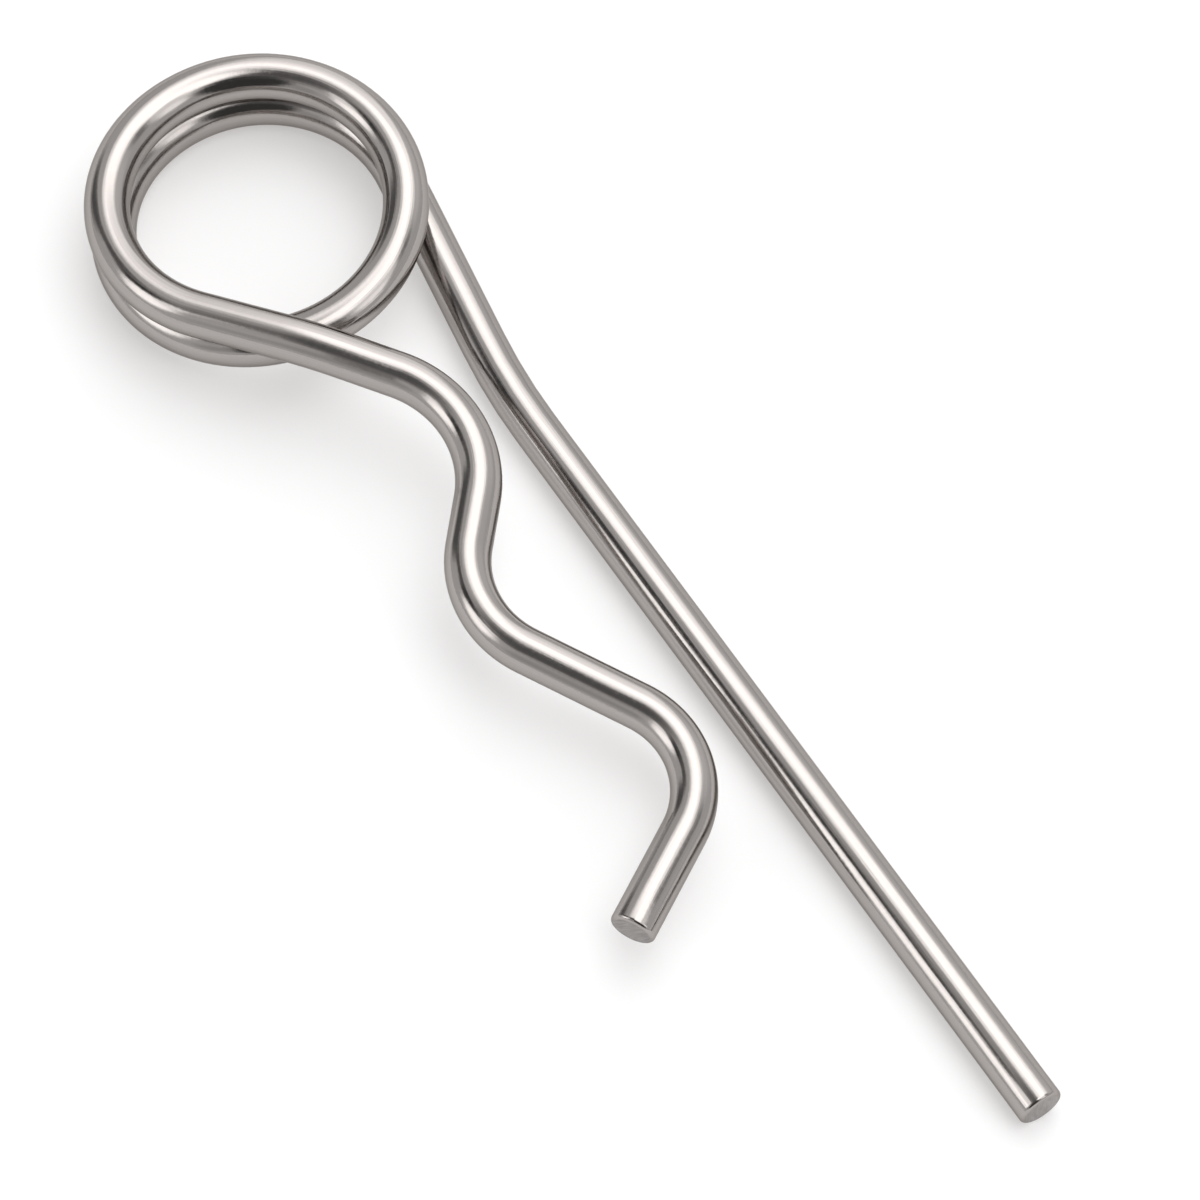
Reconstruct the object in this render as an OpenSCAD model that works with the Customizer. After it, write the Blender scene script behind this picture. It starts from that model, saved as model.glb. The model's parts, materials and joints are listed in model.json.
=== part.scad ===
// Double loop beta pin: one length of round wire with a straight leg, a coil
// of more than one and a half turns, and an arm with two humps that snaps
// over a shaft while the leg goes through the shaft's cross hole.
// Lies as it rests: leg along X with its tip towards +X, arm on the -Y side,
// floor at Z = 0. All sizes are in millimetres.

/* [Wire] */
// Wire diameter
wire_d = 4.0; // [3.5:0.1:4.2]
// Rounding on the rim of both cut ends
end_round = 0.35; // [0.1:0.05:0.6]

/* [Leg] */
// Straight length from the tip, the part that goes through the hole
leg_straight = 75.5; // [73:0.5:85]
// Outward bend that sets the leg over to the coil
leg_offset_bend = 9; // [8.5:0.25:10]
// Centre-line radius of that bend
leg_offset_r = 60; // [40:1:70]
// Straight length between that bend and the coil
leg_lead = 18.5; // [16:0.5:20]

/* [Coil] */
// Centre-line radius of the turns
coil_r = 12.9; // [12.5:0.1:13.5]
// Air gap between the two turns
turn_gap = 0.25; // [0.2:0.05:0.6]
// Part turn after the six quarter turns
coil_exit_bend = 45; // [44.5:0.25:47]

/* [Arm] */
// Straight length that carries the arm out over the lower turn
arm_lead = 8; // [6:0.5:9]
// Fall of the arm's plane below the coil's plane
arm_dip = 7; // [5:0.5:9]
// Straight length before the first hump
arm_entry = 5; // [4.5:0.25:6]
// Bend of the first hump
hump1_bend = 78.25; // [77:0.25:79]
// Centre-line radius of the first hump
hump1_r = 10.7; // [10:0.1:11.5]
// Straight length between the first hump and the shaft seat
slope1 = 4.4; // [3.5:0.1:5.5]
// Bend of the shaft seat
seat_bend = 71; // [70:0.25:72]
// Centre-line radius of the shaft seat
seat_r = 9.2; // [8.5:0.1:10]
// Straight length between the shaft seat and the second hump
slope2 = 10.5; // [9.5:0.25:11]
// Bend of the second hump
hump2_bend = 88.75; // [85:0.25:92]
// Centre-line radius of the second hump
hump2_r = 8.5; // [7.5:0.1:9.5]
// Straight length of the arm's free end
arm_end = 9.8; // [8:0.1:14]

/* [Hidden] */

// smoothness of the wire's section and of its bends
section_fn = 32;
bend_fn = 56;
// a bend draws the wire down by this much of its diameter, and every second
// quarter turn of the coil by half as much
draw_down = 0.04;
// a bend runs on this far inside a thicker stretch that follows it
run_on = 0.1;

// centre-line height gained in one turn, and the slope that gives
pitch = wire_d + turn_gap;
coil_slope = atan(pitch / (2 * PI * coil_r));
// twist about the wire's own axis in each quarter turn
quarter = 90;
quarter_turns = 6;
quarter_twist = pitch / (4 * coil_r) * 180 / PI;
exit_twist = quarter_twist * coil_exit_bend / quarter;
// the set-down bend that turns the rising arm back towards the floor
set_down_bend = coil_slope + arm_dip;
set_down_r = 30;

// The wire as it is fed and bent, from the leg's tip to the arm's end:
// feed, roll before the bend, bend, bend radius, roll after the bend.
// A positive bend turns towards the arm's side.
leg_rows = [
  [leg_straight, 0, -leg_offset_bend, leg_offset_r, 0],
  [leg_lead, 0, 0, 0, 0]
];
coil_rows = [
  for (i = [1 : quarter_turns])
    [0, quarter_twist / 2, quarter, coil_r, quarter_twist / 2]
];
exit_row = [0, exit_twist / 2, coil_exit_bend, coil_r, exit_twist / 2];
arm_rows = [
  [arm_lead, quarter, -set_down_bend, set_down_r, -quarter],
  [arm_entry, 0, -hump1_bend, hump1_r, 0],
  [slope1, 0, seat_bend, seat_r, 0],
  [slope2, 0, -hump2_bend, hump2_r, 0],
  [arm_end, 0, 0, 0, 0]
];
rows = concat(leg_rows, coil_rows, [exit_row], arm_rows);

function feed(row) = row[0];
function roll(row) = row[1];
function bend_of(row) = row[2];
function radius(row) = row[3];
function roll_after(row) = row[4];

function shift(v) = [[1, 0, 0, v[0]], [0, 1, 0, v[1]], [0, 0, 1, v[2]], [0, 0, 0, 1]];
function turn_z(a) = [
  [cos(a), -sin(a), 0, 0], [sin(a), cos(a), 0, 0], [0, 0, 1, 0], [0, 0, 0, 1]
];
function turn_y(a) = [
  [cos(a), 0, sin(a), 0], [0, 1, 0, 0], [-sin(a), 0, cos(a), 0], [0, 0, 0, 1]
];
// where a bend of this row starts, and where it has got to after angle a
function bend_start(row) = shift([0, 0, feed(row)]) * turn_z(roll(row));
function bent(row, a) =
  let (x = sign(bend_of(row)) * radius(row))
  shift([x, 0, 0]) * turn_y(sign(bend_of(row)) * a) * shift([-x, 0, 0]);
function after(row) = bend_start(row) * bent(row, abs(bend_of(row))) * turn_z(roll_after(row));

// the frame of the wire at the start of each row, and after the last one
function frames(m, i = 0) =
  i == len(rows) ? [m] : concat([m], frames(m * after(rows[i]), i + 1));

// the start frame lays the wire's first straight along -X, arm towards -Y
start = [[0, 0, -1, 0], [-1, 0, 0, 0], [0, 1, 0, 0], [0, 0, 0, 1]];
flat_frames = frames(start);
// centre-line frames every few degrees, and at both ends of each straight
sample_step = 1.5;
samples = concat([
  for (i = [0 : len(rows) - 1], a = [0 : sample_step : abs(bend_of(rows[i]))])
    flat_frames[i] * bend_start(rows[i]) * bent(rows[i], a)
], flat_frames);

// With the leg on the floor the coil's side comes down until it touches too.
clear_of_leg = wire_d / 4;
lean = min([
  for (m = samples) if (m[1][3] < -clear_of_leg) atan(m[2][3] / -m[1][3])
]);
leaned = [[1, 0, 0, 0], [0, cos(lean), -sin(lean), 0], [0, sin(lean), cos(lean), 0], [0, 0, 0, 1]];
placed = [for (m = samples) leaned * m];
// reach of the wire along an axis: its centre line plus its section's share
function reach(m, k, side) =
  side * m[k][3] + wire_d / 2 * sqrt(max(0, 1 - m[k][2] * m[k][2]));
function middle(k) =
  (max([for (m = placed) reach(m, k, 1)]) - max([for (m = placed) reach(m, k, -1)])) / 2;

// diameter of the wire in the bend of row i
function bend_d(i) =
  let (place_in_coil = i - len(leg_rows))
  let (second = place_in_coil > 0 && place_in_coil < quarter_turns && place_in_coil % 2 == 1)
  wire_d - draw_down * (second ? 0.5 : 1);
// whether the stretch after row i is thicker than its bend
function thicker_next(i) = feed(rows[i + 1]) > 0 || bend_d(i + 1) > bend_d(i);

// a straight of the wire, starting at the origin along +Z
module straight(l) {
  if (l > 0) cylinder(d = wire_d, h = l, $fn = section_fn);
}

// a straight whose start is a cut end with a rounded rim
module cut_straight(l) {
  flat_r = wire_d / 2 - end_round;
  rotate_extrude($fn = section_fn) {
    square([flat_r, l]);
    translate([0, end_round]) square([wire_d / 2, l - end_round]);
    translate([flat_r, end_round]) circle(r = end_round, $fn = section_fn);
  }
}

// a bend starting at the origin along +Z, towards +X for a positive angle
module bend(a, r, d) {
  if (a > 0)
    translate([r, 0, 0]) rotate([90, 0, 0]) mirror([1, 0, 0])
      rotate_extrude(angle = a, $fn = bend_fn)
        translate([r, 0]) circle(d = d, $fn = section_fn);
  if (a < 0)
    mirror([1, 0, 0]) bend(-a, r, d);
}

// the rows from number i on, each drawn from where the one before ends
module formed(i = 0) {
  if (i < len(rows)) {
    row = rows[i];
    is_last = i == len(rows) - 1;
    if (i == 0) cut_straight(feed(row));
    if (is_last) translate([0, 0, feed(row)]) mirror([0, 0, 1]) cut_straight(feed(row));
    if (i > 0 && !is_last) straight(feed(row));
    translate([0, 0, feed(row)]) rotate([0, 0, roll(row)]) {
      x = sign(bend_of(row)) * radius(row);
      run_on_angle = x != 0 && thicker_next(i) ? run_on / x * 180 / PI : 0;
      bend(bend_of(row) + run_on_angle, radius(row), bend_d(i));
      translate([x, 0, 0]) rotate([0, bend_of(row), 0]) translate([-x, 0, 0])
        rotate([0, 0, roll_after(row)]) formed(i + 1);
    }
  }
}

module bent_wire() {
  color([0.72, 0.72, 0.71])
    translate([-middle(0), -middle(1), wire_d / 2]) rotate([lean, 0, 0])
      rotate([90, 0, -90]) formed();
}

bent_wire();
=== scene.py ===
import json
import math
import bpy
import bmesh
from mathutils import Matrix, Vector, kdtree

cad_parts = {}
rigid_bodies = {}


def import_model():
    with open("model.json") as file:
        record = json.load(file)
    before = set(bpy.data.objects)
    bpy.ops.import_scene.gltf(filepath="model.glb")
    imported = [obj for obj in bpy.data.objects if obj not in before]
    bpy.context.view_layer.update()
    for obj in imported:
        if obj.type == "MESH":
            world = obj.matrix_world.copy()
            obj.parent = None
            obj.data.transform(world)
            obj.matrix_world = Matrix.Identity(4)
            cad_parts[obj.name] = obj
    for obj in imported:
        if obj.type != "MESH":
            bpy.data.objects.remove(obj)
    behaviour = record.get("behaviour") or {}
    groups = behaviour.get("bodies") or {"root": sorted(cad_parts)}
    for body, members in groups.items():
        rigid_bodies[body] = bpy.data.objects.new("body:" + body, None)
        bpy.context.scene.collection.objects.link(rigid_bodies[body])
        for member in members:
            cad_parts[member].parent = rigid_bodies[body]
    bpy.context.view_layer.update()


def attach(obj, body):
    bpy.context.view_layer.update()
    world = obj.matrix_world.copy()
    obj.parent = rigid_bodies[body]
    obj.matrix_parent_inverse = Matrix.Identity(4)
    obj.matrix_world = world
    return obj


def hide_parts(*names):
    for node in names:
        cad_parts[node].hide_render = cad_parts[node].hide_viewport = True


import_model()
mm = 0.001  # Blender works in metres


def deselectAll():
    for thing in bpy.context.view_layer.objects:
        thing.select_set(False)
    bpy.context.view_layer.objects.active = None


# the wire is bent row by row, as on a wire former, in millimetres and degrees
wire = {
    "diameter": 4.0,
    "legStraight": 75.5,
    "legOffsetBend": 9, "legOffsetRadius": 60,
    "legLead": 18.5,
    "coilRadius": 12.9, "turnGap": 0.25, "quarterTurns": 6, "coilExitBend": 45,
    "armLead": 8, "armDip": 7, "setDownRadius": 30,
    "armEntry": 5,
    "hump1Bend": 78.25, "hump1Radius": 10.7,
    "slope1": 4.4,
    "seatBend": 71, "seatRadius": 9.2,
    "slope2": 10.5,
    "hump2Bend": 88.75, "hump2Radius": 8.5,
    "armEnd": 9.8,
    "endRound": 0.35, "endRoundSteps": 5,  # rim of each cut face, rolled over by the blade
    "around": 64,        # corners of the round section
    "degreesAStep": 3,   # one ring of the mesh for this much bend
    "straightStep": 4,   # and for this much straight
    "mergeWithin": 0.01,
    "smoothBelow": 35,   # faces that meet at less than this shade as one surface
}


def wireRows(w):
    # feed, roll before the bend, bend, bend radius, roll after the bend
    pitch = w["diameter"] + w["turnGap"]
    coilSlope = math.degrees(math.atan(pitch / (2 * math.pi * w["coilRadius"])))
    twist = math.degrees(pitch / (4 * w["coilRadius"]))  # for each quarter turn
    exitTwist = twist * w["coilExitBend"] / 90
    rows = [
        (w["legStraight"], 0, -w["legOffsetBend"], w["legOffsetRadius"], 0),
        (w["legLead"], 0, 0, 0, 0),
    ]
    rows += [(0, twist / 2, 90, w["coilRadius"], twist / 2)] * w["quarterTurns"]
    rows += [
        (0, exitTwist / 2, w["coilExitBend"], w["coilRadius"], exitTwist / 2),
        (w["armLead"], 90, -(coilSlope + w["armDip"]), w["setDownRadius"], -90),
        (w["armEntry"], 0, -w["hump1Bend"], w["hump1Radius"], 0),
        (w["slope1"], 0, w["seatBend"], w["seatRadius"], 0),
        (w["slope2"], 0, -w["hump2Bend"], w["hump2Radius"], 0),
        (w["armEnd"], 0, 0, 0, 0),
    ]
    return rows


def makeWire(w):
    deselectAll()
    # the leg's tip faces +X: the wire is fed along -X, and bends towards -Y
    start = Matrix(((0, 0, -1, 0), (-1, 0, 0, 0), (0, 1, 0, 0), (0, 0, 0, 1)))
    bpy.ops.mesh.primitive_circle_add(
        vertices=w["around"], radius=w["diameter"] / 2 * mm, fill_type="NOTHING",
        location=(0, 0, 0), rotation=(0, math.radians(90), 0))
    pin = bpy.context.object
    pin.name = "double_loop_pin_wire"
    bpy.ops.object.transform_apply(location=True, rotation=True, scale=True)
    bpy.ops.object.mode_set(mode="EDIT")
    bpy.ops.mesh.select_all(action="SELECT")

    # one frame for each ring, which doesn't roll with the bends, and the length so far
    here, rolled, length = start.copy(), 0, 0
    rings = [(here.copy(), length)]
    for feed, roll, bend, radius, rollAfter in wireRows(w):
        steps = math.ceil(feed / w["straightStep"])
        for _ in range(steps):
            along = here.col[2].xyz * feed / steps
            bpy.ops.mesh.extrude_region_move(
                TRANSFORM_OT_translate={"value": along * mm})
            here = Matrix.Translation(along) @ here
            length += feed / steps
            rings.append((here @ Matrix.Rotation(-rolled, 4, "Z"), length))
        here = here @ Matrix.Rotation(math.radians(roll), 4, "Z")
        rolled += math.radians(roll)
        if bend:
            side = math.copysign(radius, bend)
            centre, axis = here @ Vector((side, 0, 0)), here.col[1].xyz
            steps = math.ceil(abs(bend) / w["degreesAStep"])
            turn = math.radians(bend) / steps
            bpy.ops.mesh.spin(
                steps=steps, angle=-math.radians(bend), center=centre * mm, axis=axis,
                use_auto_merge=False)
            for _ in range(steps):
                here = (Matrix.Translation(centre) @ Matrix.Rotation(turn, 4, axis)
                        @ Matrix.Translation(-centre) @ here)
                length += abs(turn) * radius
                rings.append((here @ Matrix.Rotation(-rolled, 4, "Z"), length))
        here = here @ Matrix.Rotation(math.radians(rollAfter), 4, "Z")
        rolled += math.radians(rollAfter)
    return pin, rings, length


def layDown(pin, rings, w):
    # with the leg on the floor, the coil's side comes down until it touches too
    clearOfLeg = w["diameter"] / 4  # nearer rings belong to the leg itself
    centres = [ring.col[3].xyz for ring, length in rings]
    lean = min(math.atan(c.z / -c.y) for c in centres if c.y < -clearOfLeg)
    turn = Matrix.Rotation(lean, 4, "X")
    bpy.ops.mesh.select_all(action="SELECT")
    bpy.ops.transform.rotate(value=-lean, orient_axis="X", center_override=(0, 0, 0))
    bpy.ops.object.mode_set(mode="OBJECT")
    corners = [v.co for v in pin.data.vertices]
    middle = [
        (min(c[k] for c in corners) + max(c[k] for c in corners)) / 2 for k in (0, 1)]
    place = Vector((-middle[0], -middle[1], w["diameter"] / 2 * mm))
    bpy.ops.object.mode_set(mode="EDIT")
    bpy.ops.mesh.select_all(action="SELECT")
    bpy.ops.transform.translate(value=place)
    moved = Matrix.Translation(place / mm) @ turn
    print("laid down, coil's side", round(math.degrees(lean), 2), "degrees lower")
    return [(moved @ ring, length) for ring, length in rings]


def cutEnds(w):
    # close both ends, and roll the rim of each cut face over a little
    bpy.ops.mesh.select_all(action="SELECT")
    bpy.ops.mesh.remove_doubles(threshold=w["mergeWithin"] * mm)
    bpy.ops.mesh.select_all(action="SELECT")
    bpy.ops.mesh.fill_holes(sides=0)
    bpy.ops.mesh.select_all(action="SELECT")
    bpy.ops.mesh.normals_make_consistent(inside=False)
    bpy.ops.mesh.select_mode(type="EDGE")
    bpy.ops.mesh.select_all(action="DESELECT")
    mesh = bmesh.from_edit_mesh(bpy.context.object.data)
    for face in mesh.faces:
        if len(face.verts) > 4:  # only a cut face has more than four corners
            for edge in face.edges:
                edge.select = True
    bmesh.update_edit_mesh(bpy.context.object.data)
    bpy.ops.mesh.bevel(
        offset=w["endRound"] * mm, segments=w["endRoundSteps"], affect="EDGES",
        clamp_overlap=True)
    bpy.ops.mesh.select_mode(type="FACE")
    bpy.ops.object.mode_set(mode="OBJECT")


def markAlongWire(pin, rings):
    # each corner's place across the wire and along it, in millimetres
    tree = kdtree.KDTree(len(rings))
    for i, (ring, length) in enumerate(rings):
        tree.insert(ring.col[3].xyz, i)
    tree.balance()
    alongWire = pin.data.attributes.new("alongWire", "FLOAT_VECTOR", "POINT")
    for v in pin.data.vertices:
        spot = v.co / mm
        ring, length = rings[tree.find(spot)[1]]
        local = ring.inverted() @ spot
        alongWire.data[v.index].vector = (local.x, local.y, local.z + length)


pin, rings, wireLength = makeWire(wire)
print("bent", round(wireLength, 1), "mm of wire in", len(rings), "rings")
rings = layDown(pin, rings, wire)
cutEnds(wire)
markAlongWire(pin, rings)
deselectAll()
pin.select_set(True)
bpy.context.view_layer.objects.active = pin
bpy.ops.object.shade_smooth_by_angle(angle=math.radians(wire["smoothBelow"]))


def hexColor(code):
    # sRGB hex to the linear colour that nodes take
    parts = [int(code[i:i + 2], 16) / 255 for i in (1, 3, 5)]
    return [
        c / 12.92 if c <= 0.04045 else ((c + 0.055) / 1.055) ** 2.4 for c in parts] + [1]


def addNode(tree, kind, settings={}, links={}):
    # settings are the node's own options or values of its inputs,
    # and links say which node and output feeds an input
    node = tree.nodes.new(kind)
    for name, value in settings.items():
        if hasattr(node, str(name)):
            setattr(node, name, value)
        else:
            node.inputs[name].default_value = value
    for name, (source, output) in links.items():
        tree.links.new(source.outputs[output], node.inputs[name])
    return node


def newMaterial(name):
    material = bpy.data.materials.new(name)
    material.use_nodes = True
    material.node_tree.nodes.clear()
    return material, material.node_tree


drawnSteel = {
    "light": "#ABA6A3", "dark": "#9F9A97",
    "roughness": (0.08, 0.18),
    "edgeTint": "#C4C2C0",
    "lineWidth": 0.35, "lineLength": 25,  # marks of the die, as coarse as they need to be seen
    "lineDepth": 0.015,
    "mottleSize": 0.3,                    # skin of the soap coat left by drawing, coarser too
    "mottleDepth": 0.004,
}
cutSteel = {
    "light": "#B2AEAC", "dark": "#57524F",
    "roughness": 0.36,
    "lineWidth": 0.3, "lineLength": 1.5,  # marks of the cropping blade, coarse enough to show
    "lineDepth": 0.012,
}


def makeDrawnSteel(look):
    # hard stainless spring wire, cold drawn through a die: nearly a mirror,
    # with faint lines along it and a skin that blurs it here and there
    material, tree = newMaterial("drawnStainlessWire")
    place = addNode(tree, "ShaderNodeAttribute", {"attribute_name": "alongWire"})
    across, along = 1 / look["lineWidth"], 1 / look["lineLength"]
    stretched = addNode(
        tree, "ShaderNodeMapping", {"Scale": (across, across, along)},
        {"Vector": (place, "Vector")})
    lines = addNode(
        tree, "ShaderNodeTexNoise", {"Scale": 1, "Detail": 3, "Roughness": 0.6},
        {"Vector": (stretched, 0)})
    mottle = addNode(
        tree, "ShaderNodeTexNoise",
        {"Scale": 1 / look["mottleSize"], "Detail": 4, "Roughness": 0.65},
        {"Vector": (place, "Vector")})
    color = addNode(
        tree, "ShaderNodeMix",
        {"data_type": "RGBA", 6: hexColor(look["dark"]), 7: hexColor(look["light"])},
        {0: (lines, "Fac")})
    smooth, rough = look["roughness"]
    gloss = addNode(
        tree, "ShaderNodeMapRange",
        {"From Min": 0.3, "From Max": 0.7, "To Min": smooth, "To Max": rough},
        {"Value": (mottle, "Fac")})
    skin = addNode(
        tree, "ShaderNodeBump", {"Strength": 1, "Distance": look["mottleDepth"] * mm},
        {"Height": (mottle, "Fac")})
    marks = addNode(
        tree, "ShaderNodeBump", {"Strength": 1, "Distance": look["lineDepth"] * mm},
        {"Height": (lines, "Fac"), "Normal": (skin, 0)})
    shader = addNode(
        tree, "ShaderNodeBsdfPrincipled",
        {"Metallic": 1.0, "Specular Tint": hexColor(look["edgeTint"])},
        {"Base Color": (color, 2), "Roughness": (gloss, 0), "Normal": (marks, 0)})
    addNode(tree, "ShaderNodeOutputMaterial", {}, {"Surface": (shader, "BSDF")})
    return material


def makeCutSteel(look):
    # the same wire where a blade has cropped it: flat, satin, with short straight marks
    material, tree = newMaterial("croppedStainlessEnd")
    place = addNode(tree, "ShaderNodeAttribute", {"attribute_name": "alongWire"})
    across, along = 1 / look["lineWidth"], 1 / look["lineLength"]
    stretched = addNode(
        tree, "ShaderNodeMapping", {"Scale": (across, along, 1)},
        {"Vector": (place, "Vector")})
    lines = addNode(
        tree, "ShaderNodeTexNoise", {"Scale": 1, "Detail": 4, "Roughness": 0.7},
        {"Vector": (stretched, 0)})
    color = addNode(
        tree, "ShaderNodeMix",
        {"data_type": "RGBA", 6: hexColor(look["dark"]), 7: hexColor(look["light"])},
        {0: (lines, "Fac")})
    marks = addNode(
        tree, "ShaderNodeBump", {"Strength": 1, "Distance": look["lineDepth"] * mm},
        {"Height": (lines, "Fac")})
    shader = addNode(
        tree, "ShaderNodeBsdfPrincipled", {"Metallic": 1.0, "Roughness": look["roughness"]},
        {"Base Color": (color, 2), "Normal": (marks, 0)})
    addNode(tree, "ShaderNodeOutputMaterial", {}, {"Surface": (shader, "BSDF")})
    return material


pin.data.materials.append(makeDrawnSteel(drawnSteel))
pin.data.materials.append(makeCutSteel(cutSteel))
for face in pin.data.polygons:
    if len(face.vertices) > 4:  # a cut face
        face.material_index = 1
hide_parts("bent_wire")
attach(pin, "root")
print("wire finished")


studio = {
    "floorColor": "#C7C8C9", "glowColor": "#FFFCFA",
    "floorSize": 40.0,    # metres
    "floorGlow": 0.42,    # what the paper shows on top of the light that falls on it
    "tentLevel": 0.76,    # where no panel hangs
    # each panel's azimuth from +X, height, half-width at full level and where it has faded
    # into the tent, all in degrees, and its level
    "panels": [
        ("grey wall right", 99, 31, 4, 29, 1.0),
        ("black cloth behind the camera", 332, 33, 23, 33, 0.07),
        ("dark above left", 287, 67, 4, 30, 0.16),
        ("dark left far", 234, 44, 2, 17, 0.07),
        ("dark gap far left low", 201, 17, 4, 17, 0.15),
        ("dark gap far left", 204, 30, 3, 12, 0.15),
        ("dark gap far left high", 213, 42, 3, 12, 0.17),
        ("dark gap right", 60, 42, 2, 13, 0.38),
        ("overhead near right", 40, 72, 12, 25, 2.85),
        ("overhead far right", 105, 67, 1, 12, 3.2),
        ("overhead far", 130, 59, 2, 33, 2.95),
        ("window far", 137, 34, 8, 22, 1.95),
        ("window far low", 139, 20, 6, 17, 1.6),
        ("strip right", 34, 48, 8, 18, 1.55),
        ("strip right low", 27, 35, 5, 15, 2.0),
        ("box left", 254, 27, 6, 19, 2.6),
        ("box left high", 259, 42, 4, 10, 1.8),
        ("grey camera left", 292, 20, 3, 14, 0.57),
    ],
}


def direction(azimuth, height):
    a, h = math.radians(azimuth), math.radians(height)
    return Vector((math.cos(h) * math.cos(a), math.cos(h) * math.sin(a), math.sin(h)))


def makeFloor(s):
    deselectAll()
    bpy.ops.mesh.primitive_plane_add(size=s["floorSize"], location=(0, 0, 0))
    floor = bpy.context.object
    floor.name = "floor"
    material, tree = newMaterial("paperSweep")
    # the camera, metal and glass see the paper glow, and nothing is lit by it
    ray = addNode(tree, "ShaderNodeLightPath")
    seen = addNode(
        tree, "ShaderNodeMath", {"operation": "ADD"},
        {0: (ray, "Is Camera Ray"), 1: (ray, "Is Glossy Ray")})
    seen = addNode(
        tree, "ShaderNodeMath", {"operation": "ADD", "use_clamp": True},
        {0: (seen, 0), 1: (ray, "Is Transmission Ray")})
    glow = addNode(
        tree, "ShaderNodeMath", {"operation": "MULTIPLY", 1: s["floorGlow"]},
        {0: (seen, 0)})
    shader = addNode(
        tree, "ShaderNodeBsdfPrincipled",
        {"Base Color": hexColor(s["floorColor"]), "Roughness": 0.9,
         "Specular IOR Level": 0.0, "Emission Color": hexColor(s["glowColor"])},
        {"Emission Strength": (glow, 0)})
    addNode(tree, "ShaderNodeOutputMaterial", {}, {"Surface": (shader, "BSDF")})
    floor.data.materials.append(material)


def makeLight(s):
    world = bpy.data.worlds.new("lightTent")
    world.use_nodes = True
    tree = world.node_tree
    tree.nodes.clear()
    look = addNode(tree, "ShaderNodeTexCoord")
    level = addNode(tree, "ShaderNodeValue")
    level.outputs[0].default_value = s["tentLevel"]
    for name, azimuth, height, full, faded, strength in s["panels"]:
        toward = addNode(
            tree, "ShaderNodeVectorMath",
            {"operation": "DOT_PRODUCT", 1: direction(azimuth, height)},
            {0: (look, "Generated")})
        mask = addNode(
            tree, "ShaderNodeMapRange",
            {"interpolation_type": "SMOOTHSTEP", "label": name,
             "From Min": math.cos(math.radians(faded)),
             "From Max": math.cos(math.radians(full))},
            {"Value": (toward, "Value")})
        level = addNode(
            tree, "ShaderNodeMix", {"data_type": "FLOAT", 3: strength},
            {0: (mask, "Result"), 2: (level, 0)})
    light = addNode(tree, "ShaderNodeBackground", {"Strength": 1.0}, {"Color": (level, 0)})
    addNode(tree, "ShaderNodeOutputWorld", {}, {"Surface": (light, "Background")})
    bpy.context.scene.world = world


viewpoint = {
    "lens": 194.77, "sensor": 36,
    "place": (215.04, -134.78, 486.73), "aim": (0.64, 5.34, 0),  # millimetres
    "clip": (0.01, 100),                                         # metres
}


def makeCamera(v):
    camera = bpy.data.objects.new("camera", bpy.data.cameras.new("camera"))
    bpy.context.scene.collection.objects.link(camera)
    camera.data.lens = v["lens"]
    camera.data.sensor_width = v["sensor"]
    camera.location = Vector(v["place"]) * mm
    aim = Vector(v["aim"]) * mm
    camera.rotation_euler = (aim - camera.location).to_track_quat("-Z", "Y").to_euler()
    camera.data.clip_start, camera.data.clip_end = v["clip"]
    bpy.context.scene.camera = camera


makeFloor(studio)
makeLight(studio)
makeCamera(viewpoint)
bpy.context.scene.view_settings.view_transform = "Standard"
print("floor, light and camera set")

bpy.context.view_layer.update()
